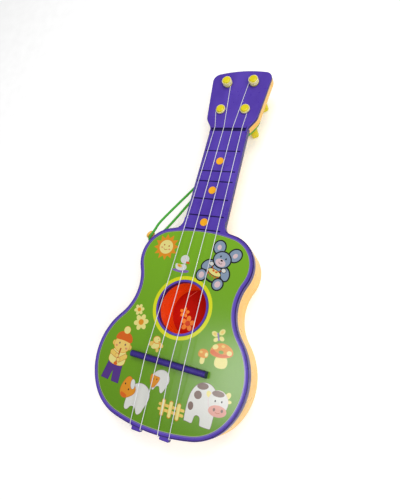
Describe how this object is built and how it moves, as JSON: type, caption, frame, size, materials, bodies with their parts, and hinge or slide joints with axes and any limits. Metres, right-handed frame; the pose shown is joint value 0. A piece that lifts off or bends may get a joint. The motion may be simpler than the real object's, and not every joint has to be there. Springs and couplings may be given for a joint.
{
  "type": "toy guitar",
  "caption": "Small moulded toy guitar with nylon strings, turning pegs, a loose bridge, a farmyard picture panel, a red sound cup and a looped cord strap.",
  "frame": {"origin": "middle of the length and width, on the flat of the back", "axes": "+Y towards the headstock, +X to the right seen from the front, +Z out of the front"},
  "size_m": [0.165, 0.402, 0.0475],
  "materials": {
    "purple_plastic": "moulded plastic, soft gloss",
    "orange_plastic": "moulded plastic, soft gloss",
    "printed_panel": "printed picture under a clear gloss film",
    "red_plastic": "moulded plastic, gloss",
    "red_print": "printed card under a clear gloss film",
    "amber_plastic": "moulded plastic, gloss",
    "yellow_plastic": "moulded plastic, soft gloss",
    "nylon_string": "clear white nylon line",
    "screw_steel": "zinc plated",
    "green_cord": "braided cord, matt"
  },
  "bodies": {
    "guitar": {"front_shell": "purple_plastic", "back_shell": "orange_plastic", "picture_panel": "printed_panel", "sound_cup": "red_plastic", "cup_picture": "red_print", "fret_dot_1": "amber_plastic", "fret_dot_2": "amber_plastic", "fret_dot_3": "amber_plastic", "string_pair_left": "nylon_string", "string_pair_right": "nylon_string", "body_screws": "screw_steel", "neck_screws": "screw_steel", "strap_cord": "green_cord", "strap_knot": "green_cord"},
    "peg_1": {"tuning_peg_1": "yellow_plastic", "string_wrap_1": "nylon_string"},
    "peg_2": {"tuning_peg_2": "yellow_plastic", "string_wrap_2": "nylon_string"},
    "peg_3": {"tuning_peg_3": "yellow_plastic", "string_wrap_3": "nylon_string"},
    "peg_4": {"tuning_peg_4": "yellow_plastic", "string_wrap_4": "nylon_string"},
    "bridge": {"bridge": "purple_plastic"}
  },
  "joints": [
    {"name": "peg_1_turn", "type": "hinge", "parent": "guitar", "child": "peg_1", "pos_m": [-0.015, 0.1486, 0.02], "axis": [0, 0, 1], "continuous": true},
    {"name": "peg_2_turn", "type": "hinge", "parent": "guitar", "child": "peg_2", "pos_m": [-0.0148, 0.1836, 0.02], "axis": [0, 0, 1], "continuous": true},
    {"name": "peg_3_turn", "type": "hinge", "parent": "guitar", "child": "peg_3", "pos_m": [0.0171, 0.1836, 0.02], "axis": [0, 0, 1], "continuous": true},
    {"name": "peg_4_turn", "type": "hinge", "parent": "guitar", "child": "peg_4", "pos_m": [0.0142, 0.1486, 0.02], "axis": [0, 0, 1], "continuous": true},
    {"name": "bridge_slide", "type": "slide", "parent": "guitar", "child": "bridge", "axis": [0, 1, 0], "range_m": [-0.002, 0.01]}
  ]
}
